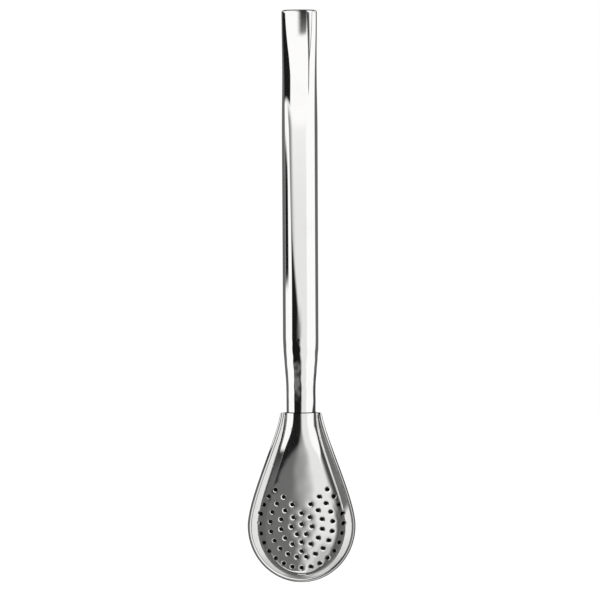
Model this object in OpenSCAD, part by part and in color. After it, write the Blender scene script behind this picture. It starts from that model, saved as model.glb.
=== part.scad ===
// Spoon bombilla: a metal straw with a flattened mouth, swaged into a crimped two-shell strainer.
// Millimetres. +Z runs up the tube to the mouth, and -Y faces the holes of the strainer.
// The origin is on the tube's axis, halfway up the straight stretch that is held.

/* [Tube] */
// Outside diameter of the tube
tube_d = 10; // [9:0.1:12]
// Wall of the tube
tube_wall = 0.6; // [0.4:0.05:0.8]
// Straight round stretch that is held
grip_len = 57.5; // [30:0.5:100]
// Taper from the tube down to the neck
swage_len = 15.5; // [8:0.5:30]
// Outside diameter of the neck
neck_d = 8.2; // [7:0.1:9]
// Neck that shows above the strainer
neck_show = 5.5; // [1:0.5:20]
// Neck held between the two shells
neck_insert = 9; // [5:0.5:14]

/* [Mouth] */
// Length over which the tube is pressed flat
mouth_len = 34; // [20:0.5:50]
// Width of the mouth end
mouth_w = 9.9; // [8:0.1:12]
// Thickness of the mouth end
mouth_t = 5.8; // [4.5:0.1:8]
// How far each side draws in midway to the mouth
mouth_waist = 0.15; // [0:0.05:0.4]
// Squareness of the mouth end, where 2 is an ellipse
mouth_square = 3.6; // [2:0.1:5]
// Radius rolled on the lip
lip_r = 0.45; // [0.1:0.05:0.6]

/* [Strainer] */
// Length of the strainer
spoon_len = 47.5; // [42:0.5:60]
// Width of the strainer over its hem
spoon_w = 30.2; // [26:0.2:36]
// Height of the widest point above the tip
widest_h = 15.8; // [14:0.1:20]
// Depth of each shell at the middle of the bowl
bowl_depth = 4.2; // [3:0.1:6]
// Fullness of the bowl's section, where 2 is an ellipse: at the widest point and where it is fullest
bowl_full = [2.2, 3.3]; // [2:0.1:3.6]
// How far below the neck's end the bowl's section is fullest
fullest_drop = 3.7; // [1:0.1:8]
// Sheet that both shells are pressed from
sheet = 0.5; // [0.3:0.05:0.7]
// Flange from the bowl's foot to the outer edge, at the widest point
flange_side = 1.9; // [1.8:0.1:4]
// Flange from the bowl's foot to the outer edge, at the tip
flange_tip = 1.9; // [1.8:0.1:4]
// Height of the bend from flange to bowl
bend_h = 0.5; // [0.3:0.05:0.6]
// Height of the bend from flange to neck
neck_bend_h = 0.3; // [0.2:0.05:0.4]

/* [Hem] */
// How far the hem laps over the front flange, past its fold
hem_lap = 0.2; // [0.1:0.05:0.4]
// Bare flange between the hem and the neck's bend at the top
hem_room = 0.01; // [0.01:0.01:0.5]
// Radius of the hem's top corners
corner_r = 0.7; // [0.3:0.1:1]

/* [Clearances] */
// Between the neck and each shell
neck_gap = 0.05; // [0.03:0.01:0.1]
// Between the front flange's edge and the fold of the hem
edge_gap = 0.05; // [0.02:0.01:0.1]

/* [Holes] */
// Diameter of a strainer hole
hole_d = 1.15; // [0.8:0.05:1.5]
// Distance sideways from one ring of holes to the next
hole_pitch = 2.92; // [2.5:0.01:3.5]
// How much taller than wide the rings are
ring_tall = 1.05; // [1:0.01:1.1]
// Places on the first ring, and how many more each later ring has
ring_places = 7; // [5:1:7]
// Least distance from a hole's middle to the bowl's foot
hole_margin = 0.9; // [0.8:0.1:3]
// Height of the middle hole above the widest point
holes_up = 0.9; // [0:0.1:2]
// Height above the middle hole where the bare V starts
vee_h = 4.1; // [3.5:0.1:6]
// Rise of each side of the bare V, for each millimetre sideways
vee_rise = 0.8; // [0.6:0.05:1]
// Drops below the middle hole of the two that stand in for the second ring's lowest hole
line_holes = [4.95, 7.5]; // [4:0.05:9]

/* [Hidden] */
$fn = 96;

tube_r = tube_d / 2;
neck_r = neck_d / 2;
lip_flat = 0.1;
lip = min(lip_r, tube_wall - lip_flat);

// The mouth starts this far inside both edges of the round tube's end
seat_step = 0.02;

// Heights from the mouth down to the tip
z_mouth = grip_len / 2 + mouth_len;
z_grip_high = grip_len / 2;
z_grip_low = -grip_len / 2;
z_neck = z_grip_low - swage_len;
z_spoon = z_neck - neck_show;
z_insert = z_spoon - neck_insert;
z_tip = z_spoon - spoon_len;
z_wide = z_tip + widest_h;
rise = z_spoon - z_wide;

// Heights above the widest point where the bowl's section is fullest, and where it is round for the neck
fullest_h = rise - neck_insert - fullest_drop;
round_h = rise - neck_insert / 2;

// The neck's half-round channel, and the hem's fold round the front flange
channel_r = neck_r + neck_gap + sheet;
fold_r = 1.5 * sheet;
hem_w = fold_r + hem_lap;

// Half widths of the outer edge and of the bowl's foot, at the widest point and at the top
edge_wide = spoon_w / 2;
foot_wide = edge_wide - flange_side;
edge_top = bend_end(channel_r, channel_r, neck_bend_h, fullness(rise)) + hem_room + hem_w;
foot_top = channel_r;

// Handles of the S-curves from the widest point to the neck, as shares of the rise
edge_handles = [0.25, 0.16];
foot_handles = [0.2, 0.31];

// Rings of holes that the bowl has room for
hole_rings = floor((foot_wide - hole_margin) / hole_pitch);

// Facets of the mouth, of the swage and of the shells' ribs
mouth_sides = 48;
mouth_steps = 16;
lip_steps = 4;
swage_steps = 14;
side_ribs = 16;
tip_ribs = 28;
bowl_steps = 9;
bend_steps = 3;
fold_steps = 8;

function mix(a, b, t) = a + (b - a) * t;
function ease(t) = t * t * (3 - 2 * t);
function unit(v) = v / norm(v);
function signed_pow(v, p) = sign(v) * pow(abs(v), p);

// S-curve of half width and height, from [low, 0] to [high, rise], upright at both ends, and its direction
function s_curve(low, high, handles, t) =
    let (u = 1 - t, h1 = handles[0] * rise, h2 = (1 - handles[1]) * rise)
    [low * u * u * (u + 3 * t) + high * t * t * (t + 3 * u),
     3 * u * u * t * h1 + 3 * u * t * t * h2 + t * t * t * rise];
function s_direction(low, high, handles, t) =
    let (u = 1 - t, h1 = handles[0] * rise, h2 = (1 - handles[1]) * rise)
    unit([6 * u * t * (high - low), 3 * u * u * h1 + 6 * u * t * (h2 - h1) + 3 * t * t * (rise - h2)]);

// Tube: the round stretches are revolved, and the mouth is a loft from a circle to a rounded slot

module round_tube() {
    swage = [for (i = [0:swage_steps]) let (t = i / swage_steps)
        [mix(neck_r, tube_r, ease(t)), mix(z_neck, z_grip_low, t)]];
    outside = concat([[neck_r, z_insert]], swage, [[tube_r, z_grip_high]]);
    bore = [for (i = [len(outside) - 1:-1:0]) outside[i] - [tube_wall, 0]];
    rotate_extrude() polygon(concat(outside, bore));
}

// One ring of the mouth at height z: t runs from the round tube to the lip, and inset shrinks the ring
function mouth_ring(t, inset, z) =
    let (half_w = mix(tube_r, mouth_w / 2, ease(t)) - mouth_waist * pow(sin(180 * t), 2) - inset,
         half_t = mix(tube_r, mouth_t / 2, ease(t)) - inset,
         power = 2 / mix(2, mouth_square, ease(t)))
    [for (i = [0:mouth_sides - 1]) let (a = 360 * i / mouth_sides)
        [half_w * signed_pow(cos(a), power), half_t * signed_pow(sin(a), power), z]];

// Solid inside a loop of rings, which goes up the outside, over the lip and down the bore
module ring_solid(rings) {
    count = len(rings);
    sides = len(rings[0]);
    function at(ring, i) = (ring % count) * sides + i % sides;
    polyhedron(
        [for (ring = rings) each ring],
        [for (r = [0:count - 1], i = [0:sides - 1])
            each [[at(r, i), at(r + 1, i), at(r + 1, i + 1)], [at(r, i), at(r + 1, i + 1), at(r, i + 1)]]]);
}

module mouthpiece() {
    z_lip = z_mouth - lip;
    outside = [for (i = [0:mouth_steps]) let (t = i / mouth_steps)
        mouth_ring(t, seat_step * (1 - t), mix(z_grip_high, z_lip, t))];
    rolled = [for (i = [1:lip_steps]) let (a = 90 * i / lip_steps)
        mouth_ring(1, lip * (1 - cos(a)), z_lip + lip * sin(a))];
    bore = [for (i = [mouth_steps:-1:0]) let (t = i / mouth_steps)
        mouth_ring(t, tube_wall - seat_step * (1 - t), mix(z_grip_high, z_mouth, t))];
    ring_solid(concat(outside, rolled, bore));
}

module straw_tube() {
    color("silver") {
        round_tube();
        mouthpiece();
    }
}

// Shells: each is a loft of ribs that run from the spine over the bowl and the flange to the outer edge

// Fullness of the bowl's section at a height above the widest point
function fullness(h) = h < fullest_h
    ? mix(bowl_full[0], bowl_full[1], ease(h / fullest_h))
    : mix(bowl_full[1], 2, ease(min(1, (h - fullest_h) / (round_h - fullest_h))));

// A rib is [spine height, direction, foot, depth, bend, edge, outward, full]. Foot is how far out the bowl
// ends, depth is the bowl's depth on the spine, bend is the height of its bend, and full is the fullness of
// its section. The others are in X and Z.
function side_rib(t, side) =
    let (foot = s_curve(foot_wide, foot_top, foot_handles, t),
         edge = s_curve(edge_wide, edge_top, edge_handles, t),
         run = s_direction(edge_wide, edge_top, edge_handles, t),
         necking = ease(min(1, foot[1] / (rise - neck_insert))))
    [z_wide + foot[1], [side, 0], foot[0],
     mix(bowl_depth, channel_r, necking), mix(bend_h, neck_bend_h, necking),
     [side * edge[0], z_wide + edge[1]], [side * run[1], -run[0]], fullness(foot[1])];
function tip_rib(a) =
    let (foot = [foot_wide * cos(a), -(widest_h - flange_tip) * sin(a)])
    [z_wide, unit(foot), norm(foot), bowl_depth, bend_h,
     [edge_wide * cos(a), z_wide - widest_h * sin(a)], unit([cos(a) / edge_wide, -sin(a) / widest_h]),
     fullness(0)];

// From the top right, round the tip, to the top left
ribs = concat(
    [for (i = [side_ribs:-1:1]) side_rib(i / side_ribs, 1)],
    [for (i = [0:tip_ribs]) tip_rib(180 * i / tip_ribs)],
    [for (i = [1:side_ribs]) side_rib(i / side_ribs, -1)]);

// The bowl's section at angle a, as [out, up], the normal there, and the angle at which it is as high as up
function bowl_at(foot, depth, full, a) = [foot * pow(cos(a), 2 / full), depth * pow(sin(a), 2 / full)];
function bowl_normal(foot, depth, full, a) =
    unit([pow(cos(a), 2 - 2 / full) / foot, pow(sin(a), 2 - 2 / full) / depth]);
function bowl_angle(depth, full, up) = asin(pow(up / depth, full / 2));

// The bend from bowl to flange, as three points of a curve: on the bowl, at the corner and on the flange
function bend_curve(foot, depth, bend, full) =
    let (low = bowl_angle(depth, full, sheet + bend),
         start = bowl_at(foot, depth, full, low),
         normal = bowl_normal(foot, depth, full, low),
         corner = [start[0] + bend * normal[1] / normal[0], sheet])
    [start, corner, corner + [norm(corner - start), 0]];
function bend_end(foot, depth, bend, full) = bend_curve(foot, depth, bend, full)[2][0];

// The bowl and its bend on a rib, as [out, up] and the normal there, from next to the spine to the flange
function bowl_line(rib) =
    let (foot = rib[2],
         depth = rib[3],
         full = rib[7],
         bend = bend_curve(foot, depth, rib[4], full),
         low = bowl_angle(depth, full, bend[0][1]))
    concat(
        [for (i = [1:bowl_steps]) let (a = mix(90, low, i / bowl_steps))
            [bowl_at(foot, depth, full, a), bowl_normal(foot, depth, full, a)]],
        [for (i = [1:bend_steps])
            let (t = i / bend_steps,
                 near = mix(bend[0], bend[1], t),
                 far = mix(bend[1], bend[2], t),
                 run = unit(far - near))
            [mix(near, far, t), [-run[1], run[0]]]]);

// Points of one skin, where inset 0 is the outer skin and sheet the inner one
function bowl_points(rib, inset) = [for (line = bowl_line(rib))
    let (at = line[0] - inset * line[1]) [rib[1][0] * at[0], at[1], rib[0] + rib[1][1] * at[0]]];
function edge_point(rib, inward, up) = let (at = rib[5] - rib[6] * inward) [at[0], up, at[1]];
function fold_points(rib, inset) = [for (i = [0:fold_steps])
    let (a = 90 - 180 * i / fold_steps, r = fold_r - inset)
    edge_point(rib, fold_r - r * cos(a), r * sin(a) - sheet / 2)];
function front_skin(inset) = [for (rib = ribs)
    concat(bowl_points(rib, inset), [edge_point(rib, fold_r + edge_gap, sheet - inset)])];
function back_skin(inset) = [for (rib = ribs)
    concat(bowl_points(rib, inset), fold_points(rib, inset), [edge_point(rib, hem_w, inset - 2 * sheet)])];

// Solid of sheet between two skins, whose rows of points start next to the spine
module shell_solid(outer, inner) {
    rows = len(ribs);
    wide = len(outer[0]);
    spine_rows = side_ribs + 1;
    points = concat(
        [for (row = outer) each row],
        [for (row = inner) each row],
        [for (inset = [0, sheet], r = [0:side_ribs]) [0, ribs[r][3] - inset, ribs[r][0]]]);
    // Both sides share the points of the spine, and the tip's ribs share the lowest of them
    function spine(r) = min(r, rows - 1 - r, side_ribs);
    function at(skin, r, k) = k < 0
        ? 2 * rows * wide + skin * spine_rows + spine(r)
        : (skin * rows + r) * wide + k;
    function pair(a, b, c, d) = concat(a == b ? [] : [[a, b, c]], [[a, c, d]]);
    skins = [for (r = [0:rows - 2], k = [-1:wide - 2])
        each concat(
            pair(at(0, r, k), at(0, r + 1, k), at(0, r + 1, k + 1), at(0, r, k + 1)),
            [for (face = pair(at(1, r, k), at(1, r + 1, k), at(1, r + 1, k + 1), at(1, r, k + 1)))
                [face[2], face[1], face[0]]])];
    rim = [for (r = [0:rows - 2])
        each pair(at(0, r, wide - 1), at(0, r + 1, wide - 1), at(1, r + 1, wide - 1), at(1, r, wide - 1))];
    ends = [for (k = [-1:wide - 2])
        each concat(
            pair(at(0, 0, k), at(0, 0, k + 1), at(1, 0, k + 1), at(1, 0, k)),
            pair(at(0, rows - 1, k + 1), at(0, rows - 1, k), at(1, rows - 1, k), at(1, rows - 1, k + 1)))];
    polyhedron(points, concat(skins, rim, ends));
}

// Middles of the holes: X, and height above the middle hole
function ring_holes(ring) = [for (i = [0:ring * ring_places - 1])
    let (a = 360 * i / (ring * ring_places),
         x = ring * hole_pitch * sin(a),
         h = ring * hole_pitch * ring_tall * cos(a),
         replaced = ring == 2 && a == 180)
    if (h <= vee_h + vee_rise * abs(x) && !replaced) [x, h]];
holes = concat(
    [[0, 0]],
    [for (ring = [1:hole_rings]) each ring_holes(ring)],
    [for (drop = line_holes) [0, -drop]]);

module front_strainer() {
    color("gainsboro")
        difference() {
            mirror([0, 1, 0]) shell_solid(front_skin(0), front_skin(sheet));
            for (hole = holes)
                translate([hole[0], 0, z_wide + holes_up + hole[1]])
                    rotate([90, 0, 0])
                        cylinder(d = hole_d, h = 2 * bowl_depth);
        }
}

// Rounds the hem's two top corners
module top_corners() {
    for (side = [-1, 1])
        translate([side * (edge_top - corner_r), 0, z_spoon - corner_r])
            rotate([90, 0, 0])
                linear_extrude(6 * fold_r, center = true)
                    difference() {
                        translate([min(side, 0) * 2 * corner_r, 0]) square(2 * corner_r);
                        circle(corner_r);
                    }
}

module back_shell() {
    color("lightgray")
        difference() {
            shell_solid(back_skin(0), back_skin(sheet));
            top_corners();
        }
}

straw_tube();
front_strainer();
back_shell();
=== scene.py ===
"""Spoon bombilla in polished steel: a turned and pressed straw, a punched strainer and a hemmed back shell.

Every length is in metres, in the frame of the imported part: +Z runs up the straw to the mouth, and the
strainer's holes face -Y. Heights on the spoon are measured from its widest point, and a shell is drawn
first as a flat blank of X, depth into the sheet and height, which is then pressed into its bowl.
"""

import logging
import math
from collections.abc import Iterable
from dataclasses import dataclass, field
from enum import Enum
from typing import ClassVar

import bpy
import numpy as np
from mathutils import Euler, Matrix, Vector
from mathutils.geometry import delaunay_2d_cdt
from mathutils.kdtree import KDTree


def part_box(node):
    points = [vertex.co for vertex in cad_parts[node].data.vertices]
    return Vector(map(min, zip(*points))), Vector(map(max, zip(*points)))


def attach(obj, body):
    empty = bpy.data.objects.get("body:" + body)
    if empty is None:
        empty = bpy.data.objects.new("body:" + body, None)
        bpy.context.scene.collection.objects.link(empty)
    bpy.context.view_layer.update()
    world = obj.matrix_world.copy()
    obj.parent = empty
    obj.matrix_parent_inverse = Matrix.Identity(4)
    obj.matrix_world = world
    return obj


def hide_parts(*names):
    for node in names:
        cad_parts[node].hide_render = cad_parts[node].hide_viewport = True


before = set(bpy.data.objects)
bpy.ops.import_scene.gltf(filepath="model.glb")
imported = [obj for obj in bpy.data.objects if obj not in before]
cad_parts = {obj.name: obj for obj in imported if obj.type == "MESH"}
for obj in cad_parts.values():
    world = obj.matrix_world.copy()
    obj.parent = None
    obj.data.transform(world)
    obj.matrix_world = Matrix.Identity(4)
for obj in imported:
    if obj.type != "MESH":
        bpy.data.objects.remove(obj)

log = logging.getLogger("bombilla")

Colour = tuple[float, float, float]
Side = tuple[float, float]

MM = 0.001
# Points closer together than this become one point.
WELD = 0.5e-6
# Faces that meet at more than this have a crease between them.
SHARP_ANGLE = math.radians(50)


class Facing(Enum):
    """Which way a shell's bowl bulges along Y."""

    FRONT = -1
    BACK = 1


class TreeKind(Enum):
    """Blender's name for each kind of node tree that the script builds."""

    GEOMETRY = "GeometryNodeTree"
    SHADER = "ShaderNodeTree"


class Socket(Enum):
    """Blender's name for each kind of socket on a node group."""

    GEOMETRY = "NodeSocketGeometry"
    FLOAT = "NodeSocketFloat"
    INT = "NodeSocketInt"
    MATERIAL = "NodeSocketMaterial"


class ColourMix(Enum):
    """Places of the Mix node's colour sockets, whose names other kinds of data share."""

    SHARE = 0
    LOW = 6
    HIGH = 7
    RESULT = 2


def mix(low: float, high: float, share: float) -> float:
    """Returns the value that lies share of the way from low to high; wires work too."""
    return low + (high - low) * share


def ease(share: float) -> float:
    """Returns share eased in and out, flat at both ends; wires work too."""
    return share * share * (3 - 2 * share)


def shares(count: int) -> list[float]:
    """Returns the shares of a way that is walked in count equal steps, from 0 to 1."""
    return [number / count for number in range(count + 1)]


def eased_steps(value: np.ndarray, places: tuple[float, ...], levels: tuple[float, ...]) -> np.ndarray:
    """Goes smoothly from level to level.

    Args:
        value: Where to read the curve.
        places: Rising places at which the curve reaches its levels.
        levels: The level at each place.

    Returns:
        The curve, level at each of the places and eased between them.
    """
    curve = np.full_like(value, levels[0])
    for low, high, before, after in zip(places, places[1:], levels, levels[1:]):
        curve += (after - before) * ease(np.clip((value - low) / (high - low), 0, 1))
    return curve


class Wire:
    """A node's output socket that takes part in sums, so that node trees read as formulas."""

    def __init__(self, tree: bpy.types.NodeTree, socket: bpy.types.NodeSocket) -> None:
        """Keeps the tree that new nodes go into and the socket that carries the value."""
        self.tree = tree
        self.socket = socket

    def maths(self, operation: str, *others: "Wire | float") -> "Wire":
        """Returns the result of one of Blender's Math operations on this value and the others."""
        return calculate(self.tree, operation, self, *others)

    def step(self, low: float, high: float) -> "Wire":
        """Adds a soft step.

        Args:
            low: Value at which the step starts.
            high: Value at which the step ends, which may be below low.

        Returns:
            0 at low and before it, 1 at high and after it, smooth between them.
        """
        node = self.tree.nodes.new("ShaderNodeMapRange")
        node.interpolation_type = "SMOOTHSTEP"
        plug(self.tree, node.inputs["Value"], self)
        node.inputs["From Min"].default_value = min(low, high)
        node.inputs["From Max"].default_value = max(low, high)
        node.inputs["To Min"].default_value = float(low > high)
        node.inputs["To Max"].default_value = float(low <= high)
        return Wire(self.tree, node.outputs["Result"])

    def __add__(self, other: "Wire | float") -> "Wire":
        """Returns the sum."""
        return self.maths("ADD", other)

    def __sub__(self, other: "Wire | float") -> "Wire":
        """Returns the difference."""
        return self.maths("SUBTRACT", other)

    def __rsub__(self, other: float) -> "Wire":
        """Returns the difference from a number."""
        return calculate(self.tree, "SUBTRACT", other, self)

    def __mul__(self, other: "Wire | float") -> "Wire":
        """Returns the product."""
        return self.maths("MULTIPLY", other)

    def __truediv__(self, other: "Wire | float") -> "Wire":
        """Returns the quotient."""
        return self.maths("DIVIDE", other)

    def __rtruediv__(self, other: float) -> "Wire":
        """Returns the quotient of a number."""
        return calculate(self.tree, "DIVIDE", other, self)

    __radd__ = __add__
    __rmul__ = __mul__

    def signed_power(self, power: "Wire | float") -> "Wire":
        """Returns the power of the size of the value, with the value's sign."""
        return self.maths("ABSOLUTE").maths("POWER", power) * self.maths("SIGN")

    def clamped(self, low: float = 0.0, high: float = 1.0) -> "Wire":
        """Returns the value held between low and high."""
        return self.maths("MAXIMUM", low).maths("MINIMUM", high)


def plug(tree: bpy.types.NodeTree, socket: bpy.types.NodeSocket, value: object) -> None:
    """Links a wire to an input socket, or sets the socket to a plain value.

    Args:
        tree: Tree that holds the socket's node.
        socket: Input to feed.
        value: A wire, or a value for the socket itself.
    """
    if isinstance(value, Wire):
        tree.links.new(value.socket, socket)
    else:
        socket.default_value = value


def calculate(tree: bpy.types.NodeTree, operation: str, *operands: Wire | float) -> Wire:
    """Adds a Math node to a tree.

    Args:
        tree: Tree that the node goes into.
        operation: Blender's name for the operation.
        operands: Wires or numbers to work on.

    Returns:
        The node's result.
    """
    node = tree.nodes.new("ShaderNodeMath")
    node.operation = operation
    for socket, operand in zip(node.inputs, operands):
        plug(tree, socket, operand)
    return Wire(tree, node.outputs[0])


class TreeMaker:
    """Builds one node tree, with short calls for its nodes and links."""

    def __init__(self, tree: bpy.types.NodeTree) -> None:
        """Starts on a tree that may be empty."""
        self.tree = tree

    @classmethod
    def group(
        cls, name: str, kind: TreeKind, inputs: dict[str, Socket], outputs: dict[str, Socket]
    ) -> "TreeMaker":
        """Starts a new group.

        Args:
            name: Name of the group.
            kind: Kind of tree.
            inputs: Kind of each named input.
            outputs: Kind of each named output.

        Returns:
            The maker of the group's tree.
        """
        tree = bpy.data.node_groups.new(name, kind.value)
        for direction, sockets in (("INPUT", inputs), ("OUTPUT", outputs)):
            for label, socket in sockets.items():
                tree.interface.new_socket(label, in_out=direction, socket_type=socket.value)
        return cls(tree)

    @classmethod
    def modelling(cls, name: str, values: dict[str, object]) -> "TreeMaker":
        """Starts a group that turns one mesh into another.

        Args:
            name: Name of the group.
            values: Value of each named input, which also gives the input's kind.

        Returns:
            The maker of the group's tree.
        """
        kinds = {int: Socket.INT, float: Socket.FLOAT, bpy.types.Material: Socket.MATERIAL}
        mesh = {"Mesh": Socket.GEOMETRY}
        inputs = {label: kinds[type(value)] for label, value in values.items()}
        return cls.group(name, TreeKind.GEOMETRY, {**mesh, **inputs}, mesh)

    def inputs(self) -> dict[str, Wire]:
        """Returns a wire for each of the group's inputs, by name."""
        node = self.tree.nodes.new("NodeGroupInput")
        return {socket.name: Wire(self.tree, socket) for socket in node.outputs if socket.name}

    def outputs(self, **values: Wire) -> None:
        """Feeds the group's outputs by name."""
        self.node("NodeGroupOutput", values)

    def node(self, kind: str, inputs: dict[str, object] | None = None, **settings: object) -> bpy.types.Node:
        """Adds a node.

        Args:
            kind: Blender's name for the node.
            inputs: What feeds each named input.
            settings: The node's own properties.

        Returns:
            The node.
        """
        node = self.tree.nodes.new(kind)
        for label, value in settings.items():
            setattr(node, label, value)
        for label, value in (inputs or {}).items():
            plug(self.tree, node.inputs[label], value)
        return node

    def wire(
        self, kind: str, output: str | int, inputs: dict[str, object] | None = None, **settings: object
    ) -> Wire:
        """Adds a node and returns the wire from one of its outputs."""
        return Wire(self.tree, self.node(kind, inputs, **settings).outputs[output])

    def split(self, vector: Wire) -> list[Wire]:
        """Returns the three parts of a vector."""
        node = self.node("ShaderNodeSeparateXYZ", {"Vector": vector})
        return [Wire(self.tree, socket) for socket in node.outputs]

    def join(self, across: object, deep: object, up: object) -> Wire:
        """Returns a vector of three parts."""
        return self.wire("ShaderNodeCombineXYZ", "Vector", {"X": across, "Y": deep, "Z": up})

    def noise(self, place: Wire, scale: Wire | float, detail: float) -> Wire:
        """Returns the value of a noise at a place."""
        return self.wire("ShaderNodeTexNoise", 0, {"Vector": place, "Scale": scale, "Detail": detail})

    def blend(self, share: Wire, low: Wire | Colour, high: Wire | Colour) -> Wire:
        """Blends two colours.

        Args:
            share: How much of the high colour there is.
            low: Colour where share is 0.
            high: Colour where share is 1.

        Returns:
            The blended colour.
        """
        node = self.node("ShaderNodeMix", data_type="RGBA")
        plug(self.tree, node.inputs[ColourMix.SHARE.value], share)
        for place, colour in ((ColourMix.LOW, low), (ColourMix.HIGH, high)):
            plug(self.tree, node.inputs[place.value], colour if isinstance(colour, Wire) else (*colour, 1.0))
        return Wire(self.tree, node.outputs[ColourMix.RESULT.value])

    def position(self) -> Wire:
        """Returns where each point of a mesh is."""
        return self.wire("GeometryNodeInputPosition", "Position")

    def attribute(self, name: str, data_type: str) -> Wire:
        """Returns a named attribute of a mesh."""
        return self.wire("GeometryNodeInputNamedAttribute", "Attribute", {"Name": name}, data_type=data_type)

    def shape(
        self, change: str, shape: Wire, inputs: dict[str, object] | None = None, **settings: object
    ) -> Wire:
        """Adds a geometry node that changes a shape, and returns the changed shape."""
        return self.wire(
            "GeometryNode" + change, "Geometry", {"Geometry": shape, **(inputs or {})}, **settings
        )

    def rolled_grid(self, sides: Wire, last_row: Wire) -> tuple[Wire, Wire, Wire]:
        """Adds a grid that is to be rolled round an axis.

        Args:
            sides: Number of faces round the axis.
            last_row: Number of the last row of points, where the first is 0.

        Returns:
            The grid, and the turn and the row of each of its points.
        """
        counts = {"Vertices X": sides + 1.0, "Vertices Y": last_row + 1.0}
        grid = self.wire("GeometryNodeMeshGrid", "Mesh", {"Size X": 1.0, "Size Y": 1.0, **counts})
        round_share, row_share, _ = self.split(self.position())
        return grid, (round_share + 0.5) * math.tau, ((row_share + 0.5) * last_row).maths("ROUND")

    def finish(self, shape: Wire, bare: Wire) -> None:
        """Ends a modelling tree: smooth faces, no instances, and a finish for the skin and for the inside.

        Args:
            shape: The shape so far.
            bare: Where the inside's finish goes.
        """
        given = self.inputs()
        real = self.shape("RealizeInstances", self.shape("SetShadeSmooth", shape))
        skinned = self.shape("SetMaterial", real, {"Material": given["Skin"]})
        lining = {"Selection": bare, "Material": given["Inside"]}
        self.outputs(Mesh=self.shape("SetMaterial", skinned, lining))


def new_material(name: str) -> tuple[bpy.types.Material, TreeMaker]:
    """Makes a material with nodes.

    Args:
        name: Name of the material.

    Returns:
        The material, and the maker of its tree.
    """
    material = bpy.data.materials.new(name)
    material.use_nodes = True
    return material, TreeMaker(material.node_tree)


def stand(name: str, data: bpy.types.ID) -> bpy.types.Object:
    """Puts a new object into the scene.

    Args:
        name: Name of the object.
        data: The mesh, lamp or camera that it shows.

    Returns:
        The object, at the origin.
    """
    thing = bpy.data.objects.new(name, data)
    bpy.context.scene.collection.objects.link(thing)
    return thing


def mesh_of(name: str, points: Iterable, faces: Iterable = ()) -> bpy.types.Mesh:
    """Makes a mesh.

    Args:
        name: Name of the mesh.
        points: Its points.
        faces: Its faces, as rows of point numbers.

    Returns:
        The mesh.
    """
    mesh = bpy.data.meshes.new(name)
    places = [tuple(map(float, point)) for point in points]
    mesh.from_pydata(places, [], [tuple(map(int, face)) for face in faces])
    return mesh


def coordinates(mesh: bpy.types.Mesh) -> np.ndarray:
    """Reads a mesh's points.

    Args:
        mesh: The mesh.

    Returns:
        Rows of X, Y and Z.
    """
    flat = np.empty(len(mesh.vertices) * 3)
    mesh.vertices.foreach_get("co", flat)
    return flat.reshape(-1, 3)


def run_tree(base: bpy.types.Mesh, maker: TreeMaker, values: dict[str, object]) -> bpy.types.Mesh:
    """Runs a modelling tree on a base mesh and keeps the result as a plain mesh.

    Args:
        base: Mesh that the tree starts from, which is used up.
        maker: The tree.
        values: Value of each of the tree's named inputs.

    Returns:
        The finished mesh.
    """
    carrier = stand(base.name + "_carrier", base)
    modifier = carrier.modifiers.new("tree", "NODES")
    modifier.node_group = maker.tree
    for item in maker.tree.interface.items_tree:
        if item.in_out == "INPUT" and item.name in values:
            modifier[item.identifier] = values[item.name]
    depsgraph = bpy.context.evaluated_depsgraph_get()
    mesh = bpy.data.meshes.new_from_object(carrier.evaluated_get(depsgraph), depsgraph=depsgraph)
    carrier.modifiers.remove(modifier)
    bpy.data.objects.remove(carrier)
    bpy.data.meshes.remove(base)
    return mesh


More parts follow.
